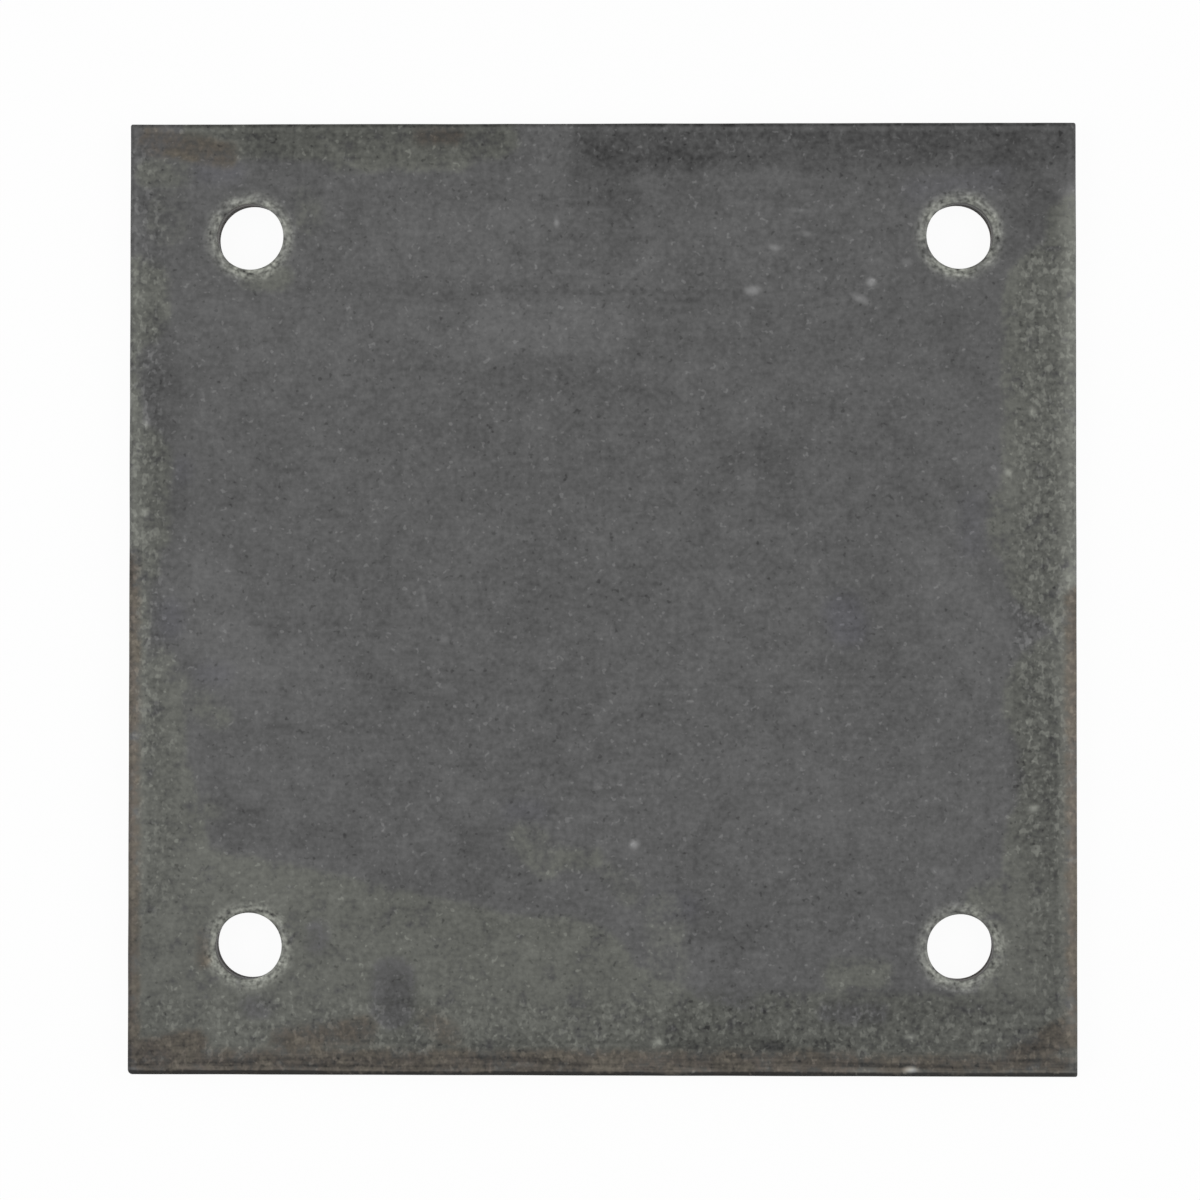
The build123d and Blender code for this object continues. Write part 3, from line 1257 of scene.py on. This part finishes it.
land_colour = scaled(tree, LAND_STEEL_AND_SHADE, add_layers(tree, 1.0, (streaks, LAND_STREAKS)))
break_colour = scaled(tree, BREAK_STEEL_AND_SHADE, add_layers(tree, 1.0, (crumbs, BREAK_CRUMBS)))
colour = blend(tree, land, break_colour, land_colour)
colour = blend(tree, rusty, colour, WALL_RUST_BROWN)
roughness = add_layers(tree, BREAK_ROUGHNESS, (land, LAND_GLOSS))
height = blend(tree, land, crumbs, maths(tree, "MULTIPLY", streaks, STREAK_RELIEF))
wall_shader = steel_surface(tree, colour, roughness, height, BREAK_RELIEF)
feed(tree, wall_shader.inputs["Metallic"], maths(tree, "MULTIPLY", land, LAND_METAL))
print("nodes in the cut walls' material:", len(tree.nodes))

# %% [markdown]
# ## Give every face its material
#
# The plate keeps one mesh and gets three material slots. Which slot a face belongs to follows
# from where it points and how high it lies.

# %% Assign the materials
WALL_STEEPNESS = 0.25


def is_struck(face):
    """Whether a face belongs to the struck face or the soft part of a rollover."""
    return face.normal.z > WALL_STEEPNESS and face.calc_center_median().z > land_foot


def is_under(face):
    """Whether a face lies on the underside."""
    return face.calc_center_median().z < NEAR


def is_cut(face):
    """Whether a face belongs to a cut wall."""
    return not is_struck(face) and not is_under(face)


finishes = [(struck_face, is_struck), (underside, is_under), (cut_wall_steel, is_cut)]
bpy.ops.object.mode_set(mode="EDIT")
for slot, (material, belongs) in enumerate(finishes):
    plate.data.materials.append(material)
    faces = choose("FACE", belongs)
    plate.active_material_index = slot
    bpy.ops.object.material_slot_assign()
    print(material.name, "on", faces, "faces")
bpy.ops.object.mode_set(mode="OBJECT")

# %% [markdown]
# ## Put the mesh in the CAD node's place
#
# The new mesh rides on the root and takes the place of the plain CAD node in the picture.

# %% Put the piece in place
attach(plate, "root")
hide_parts("cover_plate")
print(plate.name, "takes the place of cover_plate")

# %% [markdown]
# ## A white studio table
#
# The photograph has a pure white ground. The floor is white paper, and for the camera and for
# reflections most of it also glows at exactly white, which keeps a faint shadow without any
# extra light on the steel. The plate has sunk into the paper by a hair, because two faces in one
# plane would shade each other in blotches, which a look from below would show.

# %% Floor
FLOOR_SIZE = 6
SINKS_IN = 0.05 * MM
PAPER_SHARE = 0.05
PAPER_WHITE = (0.9, 0.9, 0.9, 1)
PURE_WHITE = (1, 1, 1, 1)

bpy.ops.object.select_all(action="DESELECT")
bpy.ops.mesh.primitive_plane_add(size=FLOOR_SIZE, location=(0, 0, SINKS_IN))
floor = bpy.context.object
floor.name = "floor"

paper = start_material("white_paper")
tree = paper.node_tree
ray = tree.nodes.new("ShaderNodeLightPath").outputs
seen = maths(tree, "ADD", ray["Is Camera Ray"], ray["Is Glossy Ray"])
seen = maths(tree, "ADD", seen, ray["Is Transmission Ray"])
diffuse = tree.nodes.new("ShaderNodeBsdfDiffuse")
diffuse.inputs["Color"].default_value = PAPER_WHITE
glow = tree.nodes.new("ShaderNodeEmission")
glow.inputs["Color"].default_value = PURE_WHITE
mixed = tree.nodes.new("ShaderNodeMixShader")
feed(tree, mixed.inputs["Fac"], maths(tree, "MULTIPLY", seen, 1 - PAPER_SHARE))
# the two shader sockets share one name, so they go by number
tree.links.new(diffuse.outputs["BSDF"], mixed.inputs[1])
tree.links.new(glow.outputs["Emission"], mixed.inputs[2])
output = tree.nodes.new("ShaderNodeOutputMaterial")
tree.links.new(mixed.outputs["Shader"], output.inputs["Surface"])
floor.data.materials.append(paper)
print("floor:", FLOOR_SIZE, "m across")

# %% [markdown]
# ## Soft light from both sides
#
# Two large lamps stand left and right of the camera, outside its mirror direction, so that the
# dark steel shows its own colour and no glare. The world fills in the rest. Together they are
# about as strong as it takes for a colour to render as it is written.

# %% Lamps and world
LAMP_SIZE = 0.8
LAMP_POWER = 4.2
LAMP_OUT = 0.7
LAMP_UP = 0.6
SKY_STRENGTH = 0.35

scene = bpy.context.scene
for side, name in ((-1, "left softbox"), (1, "right softbox")):
    lamp = bpy.data.lights.new(name, "AREA")
    lamp.size = LAMP_SIZE
    lamp.energy = LAMP_POWER
    softbox = bpy.data.objects.new(name, lamp)
    softbox.location = (side * LAMP_OUT, 0, LAMP_UP)
    softbox.rotation_euler = (0, side * math.atan2(LAMP_OUT, LAMP_UP), 0)
    scene.collection.objects.link(softbox)

sky = bpy.data.worlds.new("studio")
scene.world = sky
sky.use_nodes = True
background = sky.node_tree.nodes["Background"]
background.inputs["Color"].default_value = PURE_WHITE
background.inputs["Strength"].default_value = SKY_STRENGTH
print("two lamps of", LAMP_POWER, "W and a sky of strength", SKY_STRENGTH)

# %% [markdown]
# ## The camera
#
# A fit to the photograph's four edges and four hole mouths puts the camera about half a metre
# above the plate and within a degree of straight down. The picture was cut about one hundredth
# of its width off the lens's middle, which the lens shift repeats.

# %% Camera
PICTURE_WIDTH = 1200
FOCAL_LENGTH_IN_PIXELS = 2279.7
MIDDLE_OFF_X_IN_PIXELS = 5.6
MIDDLE_OFF_Y_IN_PIXELS = 12.8
SENSOR_WIDTH_IN_MM = 36
CAMERA_PLACE = Vector((6.7, -9.0, 486.5)) * MM
CAMERA_TURN = [math.radians(angle) for angle in (0.71, 0.70, 0.04)]

camera_data = bpy.data.cameras.new("overhead camera")
camera_data.sensor_width = SENSOR_WIDTH_IN_MM
camera_data.lens = SENSOR_WIDTH_IN_MM * FOCAL_LENGTH_IN_PIXELS / PICTURE_WIDTH
camera_data.shift_x = -MIDDLE_OFF_X_IN_PIXELS / PICTURE_WIDTH
camera_data.shift_y = MIDDLE_OFF_Y_IN_PIXELS / PICTURE_WIDTH
camera = bpy.data.objects.new("overhead camera", camera_data)
camera.location = CAMERA_PLACE
camera.rotation_euler = CAMERA_TURN
scene.collection.objects.link(camera)
scene.camera = camera
scene.view_settings.view_transform = "Standard"
print("camera", round((CAMERA_PLACE.z - thickness) / MM, 1), "mm above the struck face")
